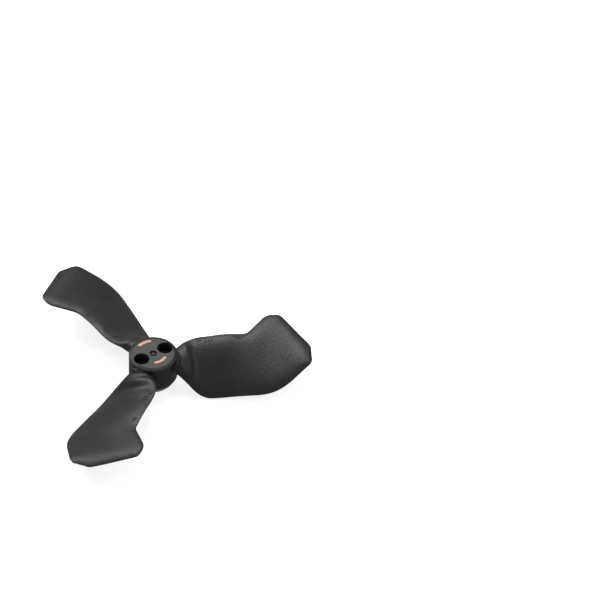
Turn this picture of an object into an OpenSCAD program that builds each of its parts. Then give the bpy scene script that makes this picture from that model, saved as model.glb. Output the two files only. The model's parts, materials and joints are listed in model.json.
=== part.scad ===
// Three-bladed propeller of a small ducted camera drone.
// It turns anticlockwise seen from above. Sizes are in millimetres.
// Origin: on the spin axis, in the plane of the seat face that rests on the motor.
// +Z runs up the spin axis and +X runs through the two screw holes.

/* [Rotor] */
// Radius of the circle that the blade tips sweep
tip_r = 28.4; // [25:0.1:36]
// Turn of the first blade from the line of the screw holes, in degrees
first_blade_turn = -39.2; // [-60:0.1:60]
// Advance of the blade surface in one turn
pitch = 47; // [38:0.5:56]

/* [Hub] */
// Height of the hub's top face above the seat face
hub_top = 6.5; // [5.4:0.1:8]
// Wall between a counterbore and the outside of the barrel
hub_wall = 0.48; // [0.4:0.01:0.8]
// Height of the barrel's underside above the seat face
hub_bottom = 1.6; // [0.8:0.1:2]
// Width of the bevel around the hub's top face
crown_bevel_w = 0.66; // [0.2:0.02:0.8]
// Drop of the bevel around the hub's top face
crown_bevel_h = 0.22; // [0.1:0.02:0.5]
// Radius of the gate recess in the middle of the top face
gate_r = 0.68; // [0.5:0.02:0.8]
// Depth of the gate recess
gate_depth = 0.34; // [0.2:0.02:0.5]
// Radius of the round stub left standing in the gate recess
stub_r = 0.48; // [0.3:0.02:0.49]
// Drop of the stub's crown below the top face
stub_drop = 0.05; // [0.02:0.01:0.1]

/* [Mounting] */
// Distance between the two screw holes
screw_spacing = 5.0; // [4.2:0.1:6]
// Radius of the screw holes
screw_hole_r = 0.75; // [0.55:0.05:0.9]
// Radius of the counterbores for the screw heads
counterbore_r = 1.38; // [1.1:0.01:1.6]
// Depth of the counterbores below the top face
counterbore_depth = 1.8; // [1.2:0.1:2.2]
// Radius of the bore for the motor shaft
shaft_r = 0.75; // [0.5:0.05:0.9]
// Depth of the shaft bore above the seat face
shaft_depth = 4.4; // [3.6:0.1:5.2]
// Land between a screw hole and the outside of the seat
seat_land = 0.5; // [0.4:0.02:0.55]
// Depth that the seat insert is pressed into the barrel
seat_press = 1.6; // [1:0.1:1.8]
// Width of the chamfer around the seat face
seat_chamfer_w = 0.4; // [0.1:0.02:0.4]
// Height of the chamfer around the seat face
seat_chamfer_h = 0.5; // [0.1:0.05:0.7]

/* [Index marks] */
// Mean radius of the arc-shaped mark on the +Y side
outer_mark_r = 3.18; // [2.8:0.02:3.3]
// Mean radius of the arc-shaped mark on the -Y side
inner_mark_r = 2.28; // [1.8:0.02:2.6]
// Length of a mark from end to end
mark_length = 2.68; // [1.8:0.02:3]
// Width of a mark
mark_w = 0.6; // [0.3:0.02:0.7]
// Angle by which each mark leans from the Y axis towards +X
mark_lean = 3.5; // [0:0.5:10]
// Depth of a mark below the top face
mark_depth = 0.3; // [0.15:0.05:0.6]

/* [Blade outline] */
// Leading side of the neck, measured from the blade's own axis inside the barrel
neck_lead = 1.95; // [1.6:0.05:2.4]
// Trailing side of the neck
neck_trail = 1.1; // [0.8:0.05:1.6]
// Gap between the barrel and the shoulder on the leading edge
shoulder_gap = 2.35; // [2:0.05:3.4]
// Shoulder, measured from the blade's axis
shoulder_w = 5.55; // [4.6:0.05:6.8]
// Gap between the barrel and the inner corner of the trailing edge
trail_in_gap = 4.7; // [3.6:0.1:5.8]
// Inner corner of the trailing edge
trail_in_w = 3.85; // [3.2:0.05:4.8]
// Gap between the tip circle and the kink where the hook begins
kink_gap = 12.3; // [11.4:0.1:13.6]
// Kink
kink_w = 7.5; // [6.6:0.1:8.4]
// Gap between the tip circle and the inner corner of the hook
hook_in_gap = 9.05; // [8.4:0.05:10]
// Inner corner of the hook
hook_in_w = 11.9; // [9.8:0.1:14.4]
// Gap between the tip circle and the outer corner of the hook
hook_out_gap = 6.65; // [6:0.05:7.4]
// Outer corner of the hook
hook_out_w = 12.2; // [10.1:0.1:14.8]
// Gap between the tip circle and the outer corner of the trailing edge
trail_out_gap = 5.65; // [4.6:0.05:6.6]
// Outer corner of the trailing edge
trail_out_w = 2.9; // [2.4:0.1:3.6]
// Leading corner of the short straight tip
tip_lead = 6.15; // [5.2:0.05:7.4]
// Trailing corner of the short straight tip
tip_trail = 2.45; // [1.9:0.05:3]

/* [Blade section] */
// Drop from the hub's top face to the blade's axis, along the middle of the blade
blade_drop = 4.44; // [4.2:0.02:4.7]
// Rise of the axis from there up to the neck
neck_rise = 2.3; // [1.8:0.1:2.6]
// Length of the neck's slope, measured from inside the barrel
neck_slope = 6.7; // [5.4:0.1:8]
// Rise of the axis from the middle of the blade out to the tip circle
tip_rise = 2.04; // [0:0.02:3]
// Length over which the tip rises
tip_slope = 9.7; // [8:0.1:12]
// Length over which the twist grows outward from inside the barrel
twist_run = 8.0; // [6.4:0.1:9.6]
// Share of the pitch lost at the tip circle
washout = 0.56; // [0:0.02:0.7]
// Length over which the pitch is lost
washout_run = 5.5; // [4.4:0.1:6.6]
// Thickness along the blade's edges
edge_t = 0.34; // [0.25:0.01:0.5]
// Thickness in the middle of the blade
blade_t = 0.8; // [0.6:0.02:1.1]
// Thickness of the neck at the barrel
neck_t = 2.4; // [1.8:0.05:2.9]
// Length over which the neck thins down to the crease across the blade's root
neck_taper = 4.2; // [3.4:0.1:5.2]
// Lean of the crease, as its shift inward for each millimetre towards the leading edge
crease_lean = 0.24; // [0:0.02:0.4]
// Height of the section's arch
camber = 0.6; // [0:0.02:0.9]

/* [Hidden] */
$fn = 96;
blade_count = 3;
cut_over = 1; // how far a cutter runs past the face it cuts
corner_share = 0.48; // longest rounding, as a share of the shorter side of its corner
bend_steps = 4; // straight pieces in a rounded corner
side_steps = 4; // straight pieces in a side between two corners
section_steps = 8; // pieces across a blade section
tip_fade = 6; // power with which the arch fades out towards the tip
arch_power = 2.4; // how squarely the arch meets the edges
section_power = 0.7; // how bluntly the thickness meets the edges
hub_r = screw_spacing / 2 + counterbore_r + hub_wall;
seat_r = screw_spacing / 2 + screw_hole_r + seat_land;
pocket_top = hub_bottom + seat_press;
screw_floor = hub_top - counterbore_depth;
neck_in = hub_r - 1.96; // the blades' first section, inside the barrel
twist_in = hub_r - 1.16; // where the twist begins, inside the barrel
slope_in = hub_r - 0.76; // where the neck's slope begins, inside the barrel

// Corners of the blade's outline as [outward, towards the leading edge, length of the rounding].
shoulder = [hub_r + shoulder_gap, shoulder_w, 2.1];
kink = [tip_r - kink_gap, kink_w, 0.9];
hook_in = [tip_r - hook_in_gap, hook_in_w, 1.4];
hook_out = [tip_r - hook_out_gap, hook_out_w, 0.95];
tip_corner_1 = [sqrt(tip_r * tip_r - tip_lead * tip_lead), tip_lead, 1.2];
tip_corner_2 = [sqrt(tip_r * tip_r - tip_trail * tip_trail), tip_trail, 1.5];
trail_out = [tip_r - trail_out_gap, -trail_out_w, 3.4];
trail_in = [hub_r + trail_in_gap, -trail_in_w, 3.6];
// Two points on the straight trailing side, joined by ribs to the kink and to the hook.
brace_in = between(trail_in, trail_out, 0.25);
brace_out = between(trail_in, trail_out, 0.5);
lead_corners = [[neck_in, neck_lead, 0], shoulder, kink, hook_in, hook_out, tip_corner_1, tip_corner_2];
trail_corners = [[neck_in, -neck_trail, 0], trail_in, brace_in, brace_out, trail_out, tip_corner_2, tip_corner_1];

function flat(p) = [p.x, p.y];
function clamp(t) = max(0, min(1, t));
function smooth(t) = let (c = clamp(t)) c * c * (3 - 2 * c);
function between(a, b, t) = a + (b - a) * t;
function towards(a, b, d) = a + (b - a) * d / norm(b - a);

// Length of the rounding at corner i of an outline, limited by the sides that meet there.
function rounding(c, i) =
    let (before = norm(flat(c[i]) - flat(c[i - 1])), after = norm(flat(c[i + 1]) - flat(c[i])))
    min(c[i].z, corner_share * before, corner_share * after);

// Point at share t of the curve that rounds corner i.
function bend(c, i, t) =
    let (
        d = rounding(c, i),
        a = towards(flat(c[i]), flat(c[i - 1]), d),
        b = towards(flat(c[i]), flat(c[i + 1]), d)
    )
    between(between(a, flat(c[i]), t), between(flat(c[i]), b, t), t);

// Points along one edge of the blade, from the neck to the straight tip.
function edge(c) = [
    for (i = [1 : len(c) - 2])
        let (from = i == 1 ? flat(c[0]) : bend(c, i - 1, 1))
        each concat(
            [for (k = [i == 1 ? 0 : 1 : side_steps - 1]) between(from, bend(c, i, 0), k / side_steps)],
            [for (k = [0 : bend_steps]) bend(c, i, k / bend_steps)]
        )
];

// Part of the full pitch that the blade has at x.
function twist(x) =
    clamp((x - twist_in) / twist_run) * (1 - washout * pow(max(0, 1 - (tip_r - x) / washout_run), 2));

// Height of the blade's middle surface at p, before it is arched.
function height(p) =
    hub_top - blade_drop
    + neck_rise * smooth(1 - (p.x - slope_in) / neck_slope)
    + tip_rise * pow(max(0, 1 - (tip_r - p.x) / tip_slope), 2)
    + pitch * twist(p.x) * atan2(p.y, p.x) / 360;

// Share of the neck that is left at p: 1 at the barrel and 0 from the crease outwards.
function neck_share(p) = smooth(1 - (p.x + crease_lean * p.y - hub_r) / neck_taper);

// Point of the blade's skin at share s across rib number r, on the upper (side 1) or lower (side -1) face.
function skin(p, s, r, side) =
    let (
        arch = camber * (1 - neck_share(p)) * (1 - pow(r, tip_fade)),
        rise = arch * (1 - pow(abs(2 * s - 1), arch_power)),
        body_t = blade_t + (neck_t - blade_t) * neck_share(p),
        t = edge_t + (body_t - edge_t) * pow(4 * s * (1 - s), section_power)
    )
    [p.x, p.y, height(p) + rise + side * t / 2];

// One blade along +X, cut to the barrel's surface.
module blade_form() {
    lead = edge(lead_corners);
    trail = edge(trail_corners);
    ribs = len(lead);
    ring = 2 * (section_steps + 1);
    points = [
        for (i = [0 : ribs - 1], j = [0 : ring - 1])
            let (
                upper = j <= section_steps,
                k = upper ? j : ring - 1 - j,
                s = (1 - cos(180 * k / section_steps)) / 2
            )
            skin(between(lead[i], trail[i], s), s, i / (ribs - 1), upper ? 1 : -1)
    ];
    walls = [
        for (i = [0 : ribs - 2], j = [0 : ring - 1])
            let (a = i * ring + j, b = i * ring + (j + 1) % ring)
            each [[a, b, b + ring], [a, b + ring, a + ring]]
    ];
    ends = [
        for (i = [0, (ribs - 1) * ring], j = [0 : section_steps - 1])
            let (a = i + j, b = i + j + 1, c = i + ring - 2 - j, d = i + ring - 1 - j)
            each (i == 0 ? [[a, c, b], [a, d, c]] : [[a, b, c], [a, c, d]])
    ];
    difference() {
        polyhedron(points, concat(walls, ends));
        translate([0, 0, -cut_over]) cylinder(r = hub_r, h = hub_top + 2 * cut_over);
    }
}

module blade(number) {
    color([0.14, 0.14, 0.15])
        rotate([0, 0, first_blade_turn + number * 360 / blade_count]) blade_form();
}

// Arc with round ends, let into the top face. Number 0 is on the +Y side and number 1 on the -Y side.
module mark_form(number, height) {
    mark_r = [outer_mark_r, inner_mark_r][number];
    middle = [90 - mark_lean, mark_lean - 90][number];
    half_angle = (mark_length - mark_w) / 2 / mark_r * 180 / PI;
    rotate([0, 0, middle - half_angle]) translate([0, 0, hub_top - mark_depth]) {
        rotate_extrude(angle = 2 * half_angle)
            translate([mark_r - mark_w / 2, 0]) square([mark_w, height]);
        for (a = [0, 2 * half_angle])
            rotate([0, 0, a]) translate([mark_r, 0, 0]) cylinder(d = mark_w, h = height);
    }
}

module index_mark(number) {
    color([0.94, 0.66, 0.48]) mark_form(number, mark_depth);
}

module at_screws() {
    for (side = [-1, 1]) translate([side * screw_spacing / 2, 0, 0]) children();
}

// Barrel with a bevelled crown, open below for the seat insert and above for the screw heads.
module hub() {
    stub_h = gate_depth - stub_drop;
    stub_ball = (stub_r * stub_r + stub_h * stub_h) / (2 * stub_h);
    color([0.2, 0.2, 0.21]) {
        difference() {
            rotate_extrude() polygon([
                [0, hub_bottom],
                [hub_r, hub_bottom],
                [hub_r, hub_top - crown_bevel_h],
                [hub_r - crown_bevel_w, hub_top],
                [0, hub_top]
            ]);
            translate([0, 0, hub_bottom - cut_over]) cylinder(r = seat_r, h = seat_press + cut_over);
            cylinder(r = shaft_r, h = shaft_depth);
            at_screws() cylinder(r = screw_hole_r, h = hub_top);
            at_screws() translate([0, 0, screw_floor])
                cylinder(r = counterbore_r, h = counterbore_depth + cut_over);
            translate([0, 0, hub_top - gate_depth]) cylinder(r = gate_r, h = gate_depth + cut_over);
            for (number = [0, 1]) mark_form(number, mark_depth + cut_over);
        }
        translate([0, 0, hub_top - stub_drop - stub_ball]) sphere(r = stub_ball);
    }
}

// Disc pressed into the barrel's underside. Its lower face is the seat.
module motor_seat() {
    color([0.6, 0.6, 0.61])
        difference() {
            rotate_extrude() polygon([
                [0, 0],
                [seat_r - seat_chamfer_w, 0],
                [seat_r, seat_chamfer_h],
                [seat_r, pocket_top],
                [0, pocket_top]
            ]);
            translate([0, 0, -cut_over]) cylinder(r = shaft_r, h = pocket_top + 2 * cut_over);
            translate([0, 0, -cut_over]) at_screws() cylinder(r = screw_hole_r, h = pocket_top + 2 * cut_over);
        }
}

hub();
motor_seat();
blade(0);  // blade_1
blade(1);  // blade_2
blade(2);  // blade_3
index_mark(0);  // index_mark_1
index_mark(1);  // index_mark_2
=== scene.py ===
import itertools
import json
import math

import bmesh
import bpy
from mathutils import Matrix, Vector


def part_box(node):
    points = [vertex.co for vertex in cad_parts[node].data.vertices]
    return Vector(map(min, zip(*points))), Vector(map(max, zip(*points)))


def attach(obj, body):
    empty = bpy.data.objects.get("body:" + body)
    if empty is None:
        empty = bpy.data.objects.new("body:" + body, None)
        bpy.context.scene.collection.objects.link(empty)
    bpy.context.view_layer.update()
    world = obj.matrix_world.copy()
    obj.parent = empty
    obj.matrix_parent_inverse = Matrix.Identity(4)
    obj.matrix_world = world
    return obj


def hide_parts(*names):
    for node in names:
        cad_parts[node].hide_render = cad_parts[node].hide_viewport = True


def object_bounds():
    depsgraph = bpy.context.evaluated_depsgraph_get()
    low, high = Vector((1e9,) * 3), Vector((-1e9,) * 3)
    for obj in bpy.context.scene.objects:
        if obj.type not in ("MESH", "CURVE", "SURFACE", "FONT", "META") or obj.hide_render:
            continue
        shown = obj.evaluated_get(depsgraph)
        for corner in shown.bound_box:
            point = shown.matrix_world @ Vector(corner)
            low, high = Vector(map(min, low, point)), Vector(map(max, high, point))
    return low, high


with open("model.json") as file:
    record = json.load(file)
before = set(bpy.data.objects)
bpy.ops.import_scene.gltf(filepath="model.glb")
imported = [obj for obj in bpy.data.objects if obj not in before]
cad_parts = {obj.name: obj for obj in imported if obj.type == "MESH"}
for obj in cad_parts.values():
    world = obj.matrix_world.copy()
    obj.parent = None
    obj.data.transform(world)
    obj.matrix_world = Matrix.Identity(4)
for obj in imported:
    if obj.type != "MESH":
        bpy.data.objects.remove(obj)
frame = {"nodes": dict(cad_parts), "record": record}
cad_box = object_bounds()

# Sizes are in metres. The CAD frame has its origin on the spin axis at the seat face, +Z up and +X
# through the screw holes. MM turns the propeller's millimetres into metres.
MM = 0.001
BODY = "root"

# ---------------------------------------------------------------- sizes taken from the frame
mounts = {mount["name"]: mount for mount in frame["record"]["mounts"]}
hub_low, hub_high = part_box("hub")
seat_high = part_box("motor_seat")[1]
outer_mark_low, outer_mark_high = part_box("index_mark_1")
inner_mark_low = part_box("index_mark_2")[0]
HUB_R = hub_high.x
HUB_TOP = hub_high.z
HUB_BOTTOM = hub_low.z
SEAT_R = seat_high.x
POCKET_TOP = seat_high.z
MARK_LOW = outer_mark_low.z
SCREW_X = mounts["screw_holes"]["dims"]["spacing_x_mm"] * MM / 2
SCREW_R = mounts["screw_holes"]["dims"]["hole_r_mm"] * MM
SHAFT_R = mounts["shaft_bore"]["dims"]["r_mm"] * MM
SHAFT_TOP = mounts["shaft_bore"]["dims"]["length_mm"] * MM

# ---------------------------------------------------------------- sizes of the hub's details
CROWN_W = 0.66 * MM
CROWN_H = 0.22 * MM
COUNTERBORE_R = 1.38 * MM
COUNTERBORE_DEPTH = 1.8 * MM
GATE_R = 0.68 * MM
GATE_DEPTH = 0.34 * MM
STUB_R = 0.48 * MM
STUB_DROP = 0.05 * MM
MARK_W = 0.6 * MM
MARK_LENGTH = 2.68 * MM
OUTER_MARK_R = outer_mark_high.y - MARK_W / 2
INNER_MARK_R = -inner_mark_low.y - MARK_W / 2
MARK_GAP = 0.02 * MM
MARK_LEAN = 3.5
MARK_TURN = math.radians(90 - MARK_LEAN)
MARK_ROUND = 0.04 * MM
NIB_R = 0.26 * MM
NIB_TURN = math.radians(-115.5)
NIB_Z = 4.7 * MM
BARREL_SIDES = 192
ROOT_SINK = 0.12 * MM
SEAT_CHAMFER_W = 0.4 * MM
SEAT_CHAMFER_H = 0.5 * MM
EDGE_ROUND = 0.05 * MM
bar_w = 0.2
BAR_T = 0.2 * MM
BAR_RAISED = 0.09 * MM
BAR_ROUND = 0.05 * MM
BEVELLED_FROM = math.radians(25)
CREASED_FROM = math.radians(40)
# How far a cutter stands clear of what it cuts, and the height from which a bar's place is sought.
OVER = 1.0 * MM
ABOVE_ALL = 0.02

# ---------------------------------------------------------------- sizes of a blade, in its own frame
# x runs outward from the spin axis and y towards the leading edge. These are in millimetres.
hub_r = HUB_R / MM
hub_top = HUB_TOP / MM
tip_r = 28.4
first_blade_turn = -39.2
pitch = 47.0
blade_count = 3
neck_in = hub_r - 1.96
twist_in = hub_r - 1.16
slope_in = hub_r - 0.76
blade_drop = 4.44
neck_rise = 2.3
neck_slope = 6.7
tip_rise = 2.04
tip_slope = 9.7
twist_run = 8.0
twist_ease = 0.3
washout = 0.56
washout_run = 5.5
edge_t = 0.34
blade_t = 0.8
neck_t = 2.4
neck_taper = 4.2
crease_lean = 0.24
camber = 0.7
camber_gap = 1.5
edge_gap_run = 0.9
root_fillet = 0.45
neck_roundness = 0.7
wave_fade = 2
# The neck has a bulge on its front half, and beyond it a hollow that climbs to a crease.
wave_lean = 0.24
bulge_at = 6.3
bulge_w = 0.6
bulge_h = 0.32
bulge_back = -1.8
bulge_run = 2.6
hollow_in = 5.6
hollow_at = 7.4
hollow_depth = 0.28
crease_at = 8.8
crease_power = 1.5


def on_tip(y):
    return math.sqrt(tip_r * tip_r - y * y)


def between(a, b, t):
    return tuple(p + (q - p) * t for p, q in zip(a, b))


# Corners as (outward, towards the leading edge, length of the rounding).
shoulder = (hub_r + 2.35, 5.55, 2.1)
kink = (tip_r - 12.3, 7.5, 0.9)
hook_in = (tip_r - 9.05, 11.9, 1.1)
hook_out = (tip_r - 6.65, 12.2, 0.7)
tip_lead = (on_tip(6.15), 6.15, 0.8)
tip_trail = (on_tip(2.45), 2.45, 1.0)
trail_out = (tip_r - 5.65, -2.9, 3.4)
trail_in = (hub_r + 4.7, -3.85, 3.6)
lead_corners = [(neck_in, 1.95, 0), shoulder, kink, hook_in, hook_out, tip_lead, tip_trail]
trail_corners = [
    (neck_in, -1.1, 0),
    trail_in,
    between(trail_in, trail_out, 0.25),
    between(trail_in, trail_out, 0.5),
    trail_out,
    tip_trail,
    tip_lead,
]
# Bars raised along the leading edge, as (x, y, length, degrees): an arrow that shows the turning
# direction, then two groups of plain index bars.
raised_bars = [
    (7.6, 4.55, 1.3, 80),
    (7.5, 4.93, 0.62, 40),
    (7.9, 4.93, 0.62, 120),
    (8.9, 4.85, 0.75, 84),
    (9.4, 4.95, 0.75, 84),
    (9.9, 5.05, 0.75, 84),
    (14.3, 6.2, 0.75, 84),
    (14.8, 6.3, 0.75, 84),
]
NECK_STEPS = 18
SIDE_STEPS = 6
BEND_STEPS = 5
CORNER_SHARE = 0.48
SECTION_STEPS = 26
OUTLINE_STEP = 0.1


# ---------------------------------------------------------------- modelling helpers
def only(piece):
    bpy.ops.object.select_all(action="DESELECT")
    piece.select_set(True)
    bpy.context.view_layer.objects.active = piece


def begin(piece):
    """Opens a piece for editing with nothing selected."""
    only(piece)
    bpy.ops.object.mode_set(mode="EDIT")
    bpy.ops.mesh.select_all(action="DESELECT")


def end():
    bpy.ops.object.mode_set(mode="OBJECT")


def pick_faces(piece, rule):
    """Selects the faces whose middle and normal answer to a rule, and nothing else."""
    bpy.ops.mesh.select_mode(type="FACE")
    bpy.ops.mesh.select_all(action="DESELECT")
    shape = bmesh.from_edit_mesh(piece.data)
    for face in shape.faces:
        face.select_set(rule(face.calc_center_median(), face.normal))
    bmesh.update_edit_mesh(piece.data)


def pick_edges(piece, rule):
    """Selects the edges whose two ends answer to a rule, and nothing else."""
    bpy.ops.mesh.select_mode(type="EDGE")
    bpy.ops.mesh.select_all(action="DESELECT")
    shape = bmesh.from_edit_mesh(piece.data)
    for edge in shape.edges:
        edge.select_set(rule(edge.verts[0].co, edge.verts[1].co))
    bmesh.update_edit_mesh(piece.data)


def shift(x=0, y=0, z=0):
    bpy.ops.transform.translate(value=(x, y, z))


def pull(z):
    bpy.ops.mesh.extrude_region_move(TRANSFORM_OT_translate={"value": (0, 0, z)})


def settle(piece):
    """Puts a piece's place into its mesh."""
    only(piece)
    bpy.ops.object.transform_apply(location=True, rotation=True, scale=True)


def round_bar(name, x, radius, low, high, sides=96):
    bpy.ops.mesh.primitive_cylinder_add(
        vertices=sides, radius=radius, depth=high - low, location=(x, 0, (low + high) / 2)
    )
    bar = bpy.context.object
    bar.name = name
    settle(bar)
    return bar


def finish_with(piece, kind, **settings):
    """Adds a modifier with its settings and applies it."""
    only(piece)
    modifier = piece.modifiers.new(kind.title(), kind)
    for key, value in settings.items():
        setattr(modifier, key, value)
    bpy.ops.object.modifier_apply(modifier=modifier.name)


def cut(piece, tool, operation="DIFFERENCE"):
    finish_with(piece, "BOOLEAN", operation=operation, object=tool, solver="EXACT")
    bpy.data.objects.remove(tool)


def soften(piece, width, nib=None):
    """Rounds the sharp edges a little, adds a nib that stays unrounded, and keeps the broad faces flat."""
    finish_with(
        piece,
        "BEVEL",
        width=width,
        segments=2,
        limit_method="ANGLE",
        angle_limit=BEVELLED_FROM,
        use_clamp_overlap=False,
        miter_outer="MITER_ARC",
    )
    if nib:
        cut(piece, nib, "UNION")
    only(piece)
    bpy.ops.object.shade_smooth_by_angle(angle=CREASED_FROM)
    finish_with(piece, "WEIGHTED_NORMAL", keep_sharp=True)


def mount(piece, material, slot, *nodes):
    """Gives a piece its finish and its place in the frame."""
    piece.data.materials.clear()
    piece.data.materials.append(material)
    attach(piece, BODY)
    if nodes:
        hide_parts(*nodes)


# ---------------------------------------------------------------- shader nodes
class Number:
    """A number socket that takes part in Python arithmetic."""

    def __init__(self, finish, socket):
        self.finish = finish
        self.socket = socket

    def math(self, operation, first, second):
        return self.finish.node("ShaderNodeMath", {"operation": operation}, {0: first, 1: second})

    def __add__(self, other):
        return self.math("ADD", self, other)

    def __radd__(self, other):
        return self.math("ADD", other, self)

    def __sub__(self, other):
        return self.math("SUBTRACT", self, other)

    def __rsub__(self, other):
        return self.math("SUBTRACT", other, self)

    def __mul__(self, other):
        return self.math("MULTIPLY", self, other)

    def __rmul__(self, other):
        return self.math("MULTIPLY", other, self)


class Finish:
    """A material with a Principled shader and short ways to feed it."""

    def __init__(self, name, **constants):
        self.material = bpy.data.materials.new(name)
        self.material.use_nodes = True
        self.tree = self.material.node_tree
        self.shader = self.tree.nodes["Principled BSDF"]
        for key, value in constants.items():
            self.shader.inputs[key.replace("_", " ")].default_value = value

    def feed(self, socket, value):
        if isinstance(value, Number):
            self.tree.links.new(value.socket, socket)
        else:
            socket.default_value = value

    def node(self, kind, settings=None, inputs=None, output=0):
        made = self.tree.nodes.new(kind)
        for key, value in (settings or {}).items():
            setattr(made, key, value)
        for key, value in (inputs or {}).items():
            self.feed(made.inputs[key], value)
        return Number(self, made.outputs[output])

    def coords(self):
        return self.node("ShaderNodeTexCoord", output="Object")

    def noise(self, size, detail=2.0, roughness=0.5):
        """Noise whose features are about size metres wide."""
        inputs = {"Vector": self.coords(), "Scale": 1 / size, "Detail": detail, "Roughness": roughness}
        return self.node("ShaderNodeTexNoise", {}, inputs)

    def mix(self, share, first, second):
        inputs = {0: share, 6: first, 7: second}
        return self.node("ShaderNodeMix", {"data_type": "RGBA"}, inputs, output=2)

    def steps(self, value, low, high):
        """0 below low and 1 above high, with a smooth change between."""
        settings = {"interpolation_type": "SMOOTHSTEP"}
        return self.node("ShaderNodeMapRange", settings, {0: value, 1: low, 2: high})

    def bump(self, height, distance, strength):
        inputs = {"Height": height, "Distance": distance, "Strength": strength}
        self.feed(self.shader.inputs["Normal"], self.node("ShaderNodeBump", {}, inputs))

    def set(self, **sockets):
        for key, value in sockets.items():
            self.feed(self.shader.inputs[key.replace("_", " ")], value)


def grey(value):
    """A neutral grey, a trace cooler than true."""
    return (value, value, value * 1.03, 1)


def moulded_plastic(name, dark, light, gloss, grain_depth, face=None):
    """Spark-eroded black plastic: fine even grain, faint flow clouding, and a painted highlight that
    lightens the sharp convex edges a little.

    face gives the colour of a painted highlight on the top face, which is painted lighter than the sides
    as if it took more light, if the piece has one.
    """
    finish = Finish(name, Specular_IOR_Level=0.43)
    grain = finish.noise(0.17 * MM, detail=2.5, roughness=0.6)
    fleck = finish.noise(0.38 * MM, detail=2.0, roughness=0.7)
    flow = finish.noise(5.0 * MM, detail=2.0)
    # Painted highlight: the most convex places, found by pointiness, are mixed towards a lighter grey,
    # like light caught on sharp edges.
    edge = finish.steps(finish.node("ShaderNodeNewGeometry", output="Pointiness"), 0.53, 0.62)
    shade = finish.steps(flow * 0.55 + fleck * 0.45, 0.35, 0.65)
    body = finish.mix(shade, dark, light)
    # Painted light: above a height just under the top, the colour turns to the lighter face colour, so the
    # top face looks lit and the barrel shaded.
    if face:
        height = finish.node("ShaderNodeSeparateXYZ", {}, {"Vector": finish.coords()}, output=2)
        body = finish.mix(finish.steps(height, HUB_TOP - 0.03 * MM, HUB_TOP - 0.01 * MM), body, face)
    # The lighter grey of the painted edge highlight.
    edge_highlight = grey(light[0] * 1.9)
    finish.set(
        Base_Color=finish.mix(edge * 0.4, body, edge_highlight),
        Roughness=gloss + (grain - 0.5) * 0.3 + (fleck - 0.5) * 0.12 + (flow - 0.5) * 0.08,
    )
    finish.bump(grain * 0.6 + fleck * 1.3, grain_depth, 0.9)
    return finish.material


def mark_paint():
    finish = Finish("mark_paint", Specular_IOR_Level=0.4)
    speckle = finish.noise(0.1 * MM, detail=2.0)
    cloud = finish.noise(0.8 * MM)
    finish.set(
        Base_Color=finish.mix(finish.steps(cloud, 0.3, 0.7), (0.74, 0.4, 0.25, 1), (0.8, 0.46, 0.3, 1)),
        Roughness=0.5 + (speckle - 0.5) * 0.2,
    )
    finish.bump(speckle, 0.006 * MM, 0.4)
    return finish.material


def seat_plastic():
    finish = Finish("seat_plastic", Specular_IOR_Level=0.45)
    grain = finish.noise(0.12 * MM, detail=2.0)
    flow = finish.noise(2.5 * MM)
    finish.set(
        Base_Color=finish.mix(finish.steps(flow, 0.3, 0.7), grey(0.3), grey(0.36)),
        Roughness=0.45 + (grain - 0.5) * 0.2,
    )
    finish.bump(grain, 0.006 * MM, 0.4)
    return finish.material


# ---------------------------------------------------------------- hub
def arc_bar(name, turn, mean_r, width, low, high):
    """A bar bent round the spin axis, with round ends, centred on the given turn from +X."""
    sweep = (MARK_LENGTH - MARK_W + width) / mean_r
    bpy.ops.mesh.primitive_plane_add(size=1, location=(0, 0, 0), rotation=(math.pi / 2, 0, 0))
    bar = bpy.context.object
    bar.name = name
    bar.scale = (width, high - low, 1)
    settle(bar)
    begin(bar)
    bpy.ops.mesh.select_all(action="SELECT")
    shift(x=mean_r, z=(low + high) / 2)
    bpy.ops.mesh.spin(steps=24, angle=-sweep, center=(0, 0, 0), axis=(0, 0, 1))
    bpy.ops.mesh.select_all(action="SELECT")
    bpy.ops.mesh.remove_doubles(threshold=1e-7)
    bpy.ops.mesh.normals_make_consistent(inside=False)

    def at_an_end(a, b):
        upright = abs(a.x - b.x) + abs(a.y - b.y) < 1e-7
        angle = math.atan2(a.y, a.x)
        return upright and (abs(angle) < 1e-3 or abs(angle - sweep) < 1e-3)

    pick_edges(bar, at_an_end)
    bpy.ops.mesh.bevel(offset=width * 0.497, segments=10)
    end()
    bar.rotation_euler = (0, 0, turn - sweep / 2)
    settle(bar)
    return bar


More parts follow.
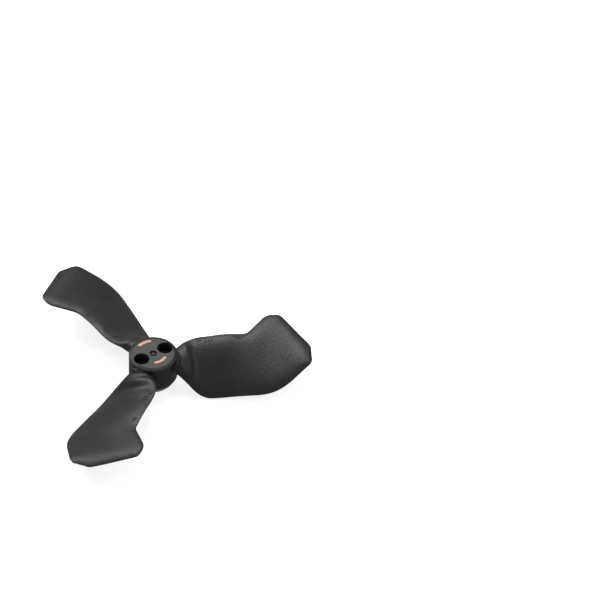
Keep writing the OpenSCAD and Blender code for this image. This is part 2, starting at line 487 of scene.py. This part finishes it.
def make_hub():
    """The barrel with its crown and recesses, and the small nib under the crown."""
    hub = round_bar("hub_moulding", 0, HUB_R, HUB_BOTTOM, HUB_TOP - CROWN_H, sides=BARREL_SIDES)
    begin(hub)
    pick_faces(hub, lambda middle, normal: normal.z > 0.9)
    bpy.ops.mesh.inset(thickness=CROWN_W)
    shift(z=CROWN_H)
    pick_edges(hub, lambda a, b: min(a.z, b.z) > HUB_TOP - EDGE_ROUND)
    bpy.ops.mesh.mark_sharp()
    pick_faces(hub, lambda middle, normal: normal.z < -0.9)
    bpy.ops.mesh.inset(thickness=HUB_R - SEAT_R)
    pull(POCKET_TOP - HUB_BOTTOM)
    end()
    cut(hub, round_bar("shaft_cutter", 0, SHAFT_R, 0, SHAFT_TOP))
    cut(hub, round_bar("gate_cutter", 0, GATE_R, HUB_TOP - GATE_DEPTH, HUB_TOP + OVER))
    for side in (-1, 1):
        x = side * SCREW_X
        cut(hub, round_bar("screw_cutter", x, SCREW_R, 0, HUB_TOP))
        cut(hub, round_bar("head_cutter", x, COUNTERBORE_R, HUB_TOP - COUNTERBORE_DEPTH, HUB_TOP + OVER))
    for turn, mean_r in ((MARK_TURN, OUTER_MARK_R), (-MARK_TURN, INNER_MARK_R)):
        cut(hub, arc_bar("mark_cutter", turn, mean_r, MARK_W, MARK_LOW, HUB_TOP + OVER))
    bpy.ops.mesh.primitive_uv_sphere_add(
        segments=48,
        ring_count=24,
        radius=NIB_R,
        location=(HUB_R * math.cos(NIB_TURN), HUB_R * math.sin(NIB_TURN), NIB_Z),
    )
    soften(hub, EDGE_ROUND, bpy.context.object)
    return hub


def make_stub():
    """The round stub left by the gate, standing in its recess."""
    floor = HUB_TOP - GATE_DEPTH
    stub = round_bar("gate_stub", 0, STUB_R, floor - GATE_DEPTH, floor + GATE_DEPTH * 0.3, sides=48)
    begin(stub)
    pick_faces(stub, lambda middle, normal: normal.z > 0.9)
    rise = HUB_TOP - STUB_DROP - (floor + GATE_DEPTH * 0.3)
    for inset, share in ((0.12, 0.45), (0.16, 0.3), (0.16, 0.17), (0.2, 0.08)):
        bpy.ops.mesh.inset(thickness=STUB_R * inset)
        shift(z=rise * share)
    end()
    finish_with(stub, "SUBSURF", levels=2, render_levels=2)
    only(stub)
    bpy.ops.object.shade_smooth()
    return stub


def make_seat():
    seat = round_bar("seat_disc", 0, SEAT_R, SEAT_CHAMFER_H, POCKET_TOP, sides=160)
    begin(seat)
    pick_faces(seat, lambda middle, normal: normal.z < -0.9)
    bpy.ops.mesh.inset(thickness=SEAT_CHAMFER_W)
    shift(z=-SEAT_CHAMFER_H)
    end()
    cut(seat, round_bar("shaft_cutter", 0, SHAFT_R, -OVER, POCKET_TOP + OVER))
    for side in (-1, 1):
        cut(seat, round_bar("screw_cutter", side * SCREW_X, SCREW_R, -OVER, POCKET_TOP + OVER))
    soften(seat, EDGE_ROUND)
    return seat


def make_mark(name, turn, mean_r):
    mark = arc_bar(name, turn, mean_r, MARK_W - 2 * MARK_GAP, MARK_LOW, HUB_TOP - MARK_GAP)
    soften(mark, MARK_ROUND)
    return mark


# ---------------------------------------------------------------- blades
def smooth(t):
    t = max(0.0, min(1.0, t))
    return t * t * (3 - 2 * t)


def towards(a, b, distance):
    length = math.dist(a[:2], b[:2])
    return between(a[:2], b[:2], distance / length)


def bend(corners, i, t):
    """Point at share t of the curve that rounds corner i."""
    corner = corners[i]
    reach = min(
        corner[2],
        CORNER_SHARE * math.dist(corner[:2], corners[i - 1][:2]),
        CORNER_SHARE * math.dist(corner[:2], corners[i + 1][:2]),
    )
    a = towards(corner, corners[i - 1], reach)
    b = towards(corner, corners[i + 1], reach)
    return between(between(a, corner[:2], t), between(corner[:2], b, t), t)


def edge_points(corners):
    """Points along one edge of a blade, from the neck to the straight tip."""
    points = []
    for i in range(1, len(corners) - 1):
        start = corners[0][:2] if i == 1 else bend(corners, i - 1, 1)
        steps = NECK_STEPS if i == 1 else SIDE_STEPS
        for k in range(0 if i == 1 else 1, steps):
            points.append(between(start, bend(corners, i, 0), k / steps))
        for k in range(BEND_STEPS + 1):
            points.append(bend(corners, i, k / BEND_STEPS))
    return points


def flare(x, y):
    """Swell of the neck where it runs into the barrel, as a quarter-round fillet."""
    gap = max(0.0, min(root_fillet, math.hypot(x, y) - hub_r))
    return root_fillet - math.sqrt(root_fillet**2 - (root_fillet - gap) ** 2)


def twist(x):
    """Share of the full twist, which eases in to its end instead of stopping short."""
    inner = max(0.0, (x - twist_in) / twist_run)
    eased = (inner - 1 + twist_ease) / (2 * twist_ease)
    if eased > 0:
        inner = 1 - twist_ease * max(0.0, 1 - eased) ** 2
    return inner * (1 - washout * max(0.0, 1 - (tip_r - x) / washout_run) ** 2)


def wave(x, y):
    """Height of the neck's bulge, and of the hollow between it and the crease."""
    u = x + wave_lean * y
    bulge = bulge_h * math.exp(-(((u - bulge_at) / bulge_w) ** 2)) * smooth((y - bulge_back) / bulge_run)
    if u < hollow_at:
        return bulge - hollow_depth * smooth((u - hollow_in) / (hollow_at - hollow_in))
    climb = min(1.0, (u - hollow_at) / (crease_at - hollow_at))
    return bulge - hollow_depth * (1 - climb**crease_power)


def neck_share(x, y):
    return smooth(1 - (x + crease_lean * y - hub_r) / neck_taper)


def middle_height(x, y):
    """Height of the blade's middle surface, before it is arched."""
    height = hub_top - blade_drop
    height += neck_rise * smooth(1 - (x - slope_in) / neck_slope)
    height += tip_rise * max(0.0, 1 - (tip_r - x) / tip_slope) ** 2
    return height + pitch * twist(x) * math.atan2(y, x) / math.tau


def edge_gap(x, y, outline):
    """Distance to the outline, made smooth all over by counting every stretch of the outline a little."""
    nearness = sum(step / ((x - u) ** 2 + (y - v) ** 2 + 1e-6) ** 2 for u, v, step in outline)
    return (math.pi / 2 / nearness) ** (1 / 3)


def make_blade():
    """One blade along +X: a grid laid on the blade's screw surface, then given its thickness."""
    lead = edge_points(lead_corners)
    trail = edge_points(trail_corners)
    ribs = len(lead) - 1
    outline = []
    for a, b in itertools.pairwise(lead + trail[::-1]):
        steps = math.ceil(math.dist(a, b) / OUTLINE_STEP)
        for k in range(steps):
            outline.append((*between(a, b, (k + 0.5) / steps), math.dist(a, b) / steps))
    bpy.ops.mesh.primitive_grid_add(x_subdivisions=ribs, y_subdivisions=SECTION_STEPS, size=1)
    blade = bpy.context.object
    blade.name = "blade_pattern"
    thickest = neck_t + 2 * root_fillet
    weights = blade.vertex_groups.new(name="thickness")
    for vertex in blade.data.vertices:
        rib = round((vertex.co.x + 0.5) * ribs)
        share = (1 - math.cos(math.pi * (0.5 - vertex.co.y))) / 2
        x, y = between(lead[rib], trail[rib], share)
        swell = flare(x, y)
        x, y = x, y + swell * (1 - 2 * share)
        neck = neck_share(x, y)
        gap = 0 if share in (0, 1) or rib == ribs else edge_gap(x, y, outline)
        rise = camber * (1 - neck) * (1 - math.exp(-gap / camber_gap))
        rise += wave(x, y) * (1 - math.exp(-wave_fade * gap))
        flat = edge_t + (blade_t - edge_t) * (1 - math.exp(-gap / edge_gap_run))
        thick = edge_t + (neck_t - edge_t) * (4 * share * (1 - share)) ** neck_roundness
        thickness = flat + (thick - flat) * neck + 2 * swell
        vertex.co = Vector((x, y, middle_height(x, y) + rise)) * MM
        weights.add([vertex.index], thickness / thickest, "REPLACE")
    finish_with(
        blade,
        "SOLIDIFY",
        thickness=thickest * MM,
        offset=0,
        vertex_group="thickness",
        thickness_vertex_group=0,
        use_rim=True,
    )
    finish_with(blade, "SUBSURF", levels=1, render_levels=1)
    cut(blade, round_bar("barrel_cutter", 0, HUB_R - ROOT_SINK, -OVER, HUB_TOP + OVER, BARREL_SIDES))
    for bar in raised_bars:
        raise_bar(blade, *bar)
    only(blade)
    bpy.ops.object.shade_smooth_by_angle(angle=math.radians(50))
    return blade


def raise_bar(blade, x, y, length, degrees):
    """Raises a small round-edged bar from the blade's upper face."""
    above = Vector((x * MM, y * MM, ABOVE_ALL))
    place, normal = blade.ray_cast(above, Vector((0, 0, -1)))[1:3]
    bpy.ops.mesh.primitive_cube_add(size=1)
    bar = bpy.context.object
    bar.scale = (length * MM, bar_w * MM, BAR_T)
    settle(bar)
    finish_with(
        bar,
        "BEVEL",
        width=BAR_ROUND,
        segments=2,
        limit_method="ANGLE",
        angle_limit=math.radians(50),
    )
    bar.matrix_world = (
        Matrix.Translation(place + normal * (BAR_RAISED - BAR_T / 2))
        @ normal.to_track_quat("Z", "Y").to_matrix().to_4x4()
        @ Matrix.Rotation(math.radians(degrees), 4, "Z")
    )
    settle(bar)
    cut(blade, bar, "UNION")


def turned_copy(pattern, name, degrees):
    copy = pattern.copy()
    copy.data = pattern.data.copy()
    copy.name = name
    bpy.context.collection.objects.link(copy)
    copy.rotation_euler = (0, 0, math.radians(degrees))
    settle(copy)
    return copy


# ---------------------------------------------------------------- camera, floor and light
CAMERA_AZIMUTH = -34.04
SOFTBOX_SIZE = 0.3
SOFTBOX_DISTANCE = 0.6


def look(piece, place, target):
    piece.location = place
    piece.rotation_euler = (target - place).to_track_quat("-Z", "Y").to_euler()


def make_camera():
    """Looks down at the hub from 45 degrees, with the hub left of and below the middle of the view."""
    azimuth, elevation, roll = math.radians(CAMERA_AZIMUTH), math.radians(45.1), math.radians(0.21)
    distance, aside, below = 0.7019, math.radians(2.203), math.radians(0.71)
    right = Vector((math.cos(azimuth), math.sin(azimuth), 0))
    hub_to_eye = Vector((
        math.sin(azimuth) * math.cos(elevation),
        -math.cos(azimuth) * math.cos(elevation),
        math.sin(elevation),
    ))
    up = hub_to_eye.cross(right)
    back = (hub_to_eye - math.tan(aside) * right - math.tan(below) * up).normalized()
    right = (right - right.dot(back) * back).normalized()
    turn = Matrix((right, back.cross(right), back)).transposed() @ Matrix.Rotation(roll, 3, "Z")
    camera = bpy.data.objects.new("camera", bpy.data.cameras.new("camera"))
    bpy.context.collection.objects.link(camera)
    camera.location = Vector((0, 0, HUB_TOP)) + distance * hub_to_eye
    camera.rotation_euler = turn.to_euler()
    camera.data.lens = 232.46
    camera.data.sensor_width = 36
    camera.data.clip_start = 0.01
    bpy.context.scene.camera = camera


def make_floor():
    bpy.ops.mesh.primitive_plane_add(size=4, location=(0, 0, cad_box[0].z - 0.02 * MM))
    floor = bpy.context.object
    floor.name = "floor"
    settle(floor)
    finish = Finish(
        "floor_white",
        Base_Color=(0.92, 0.92, 0.92, 1),
        Roughness=0.9,
        Specular_IOR_Level=0.0,
        Emission_Color=(1, 1, 1, 1),
        Emission_Strength=0.75,
    )
    floor.data.materials.append(finish.material)
    floor.visible_diffuse = False
    floor.visible_glossy = False


def softbox(name, azimuth, elevation, power):
    """A round softbox aimed at the hub. Its azimuth runs to the right from the side the camera is on."""
    turn = math.radians(CAMERA_AZIMUTH + azimuth)
    rise = math.radians(elevation)
    aim = Vector((math.sin(turn) * math.cos(rise), -math.cos(turn) * math.cos(rise), math.sin(rise)))
    light = bpy.data.lights.new(name, "AREA")
    light.shape = "DISK"
    light.size = SOFTBOX_SIZE
    light.energy = power
    lamp = bpy.data.objects.new(name, light)
    bpy.context.collection.objects.link(lamp)
    middle = Vector((0, 0, HUB_TOP))
    look(lamp, middle + SOFTBOX_DISTANCE * aim, middle)


def light_studio():
    world = bpy.data.worlds.new("studio")
    world.use_nodes = True
    world.node_tree.nodes["Background"].inputs["Color"].default_value = (1, 1, 1, 1)
    world.node_tree.nodes["Background"].inputs["Strength"].default_value = 0.28
    bpy.context.scene.world = world
    softbox("front_left", 315, 15, 0.55)
    softbox("back_left", 225, 40, 1.2)
    softbox("back_low", 180, 40, 0.26)
    softbox("back_high", 180, 65, 1.5)
    softbox("right", 90, 45, 0.33)
    bpy.context.scene.view_settings.view_transform = "Standard"


# ---------------------------------------------------------------- the propeller
for node in frame["nodes"].values():
    node.select_set(False)

# The hub's last grey is a painted highlight: its top face is painted lighter than its barrel, as if the
# top took more light.
hub_plastic = moulded_plastic("hub_plastic", grey(0.01), grey(0.015), 0.46, 0.02 * MM, grey(0.036))
blade_plastic = moulded_plastic("blade_plastic", grey(0.011), grey(0.019), 0.4, 0.03 * MM)

mount(make_hub(), hub_plastic, "hub_plastic", "hub")
mount(make_stub(), hub_plastic, "hub_plastic")
mount(make_seat(), seat_plastic(), "seat_plastic", "motor_seat")
paint = mark_paint()
mount(make_mark("outer_arc", MARK_TURN, OUTER_MARK_R), paint, "mark_paint", "index_mark_1")
mount(make_mark("inner_arc", -MARK_TURN, INNER_MARK_R), paint, "mark_paint", "index_mark_2")
pattern = make_blade()
for i in range(blade_count):
    blade = turned_copy(pattern, f"blade_skin_{i + 1}", first_blade_turn + i * 360 / blade_count)
    mount(blade, blade_plastic, "blade_plastic", f"blade_{i + 1}")
bpy.data.objects.remove(pattern)

make_floor()
make_camera()
light_studio()
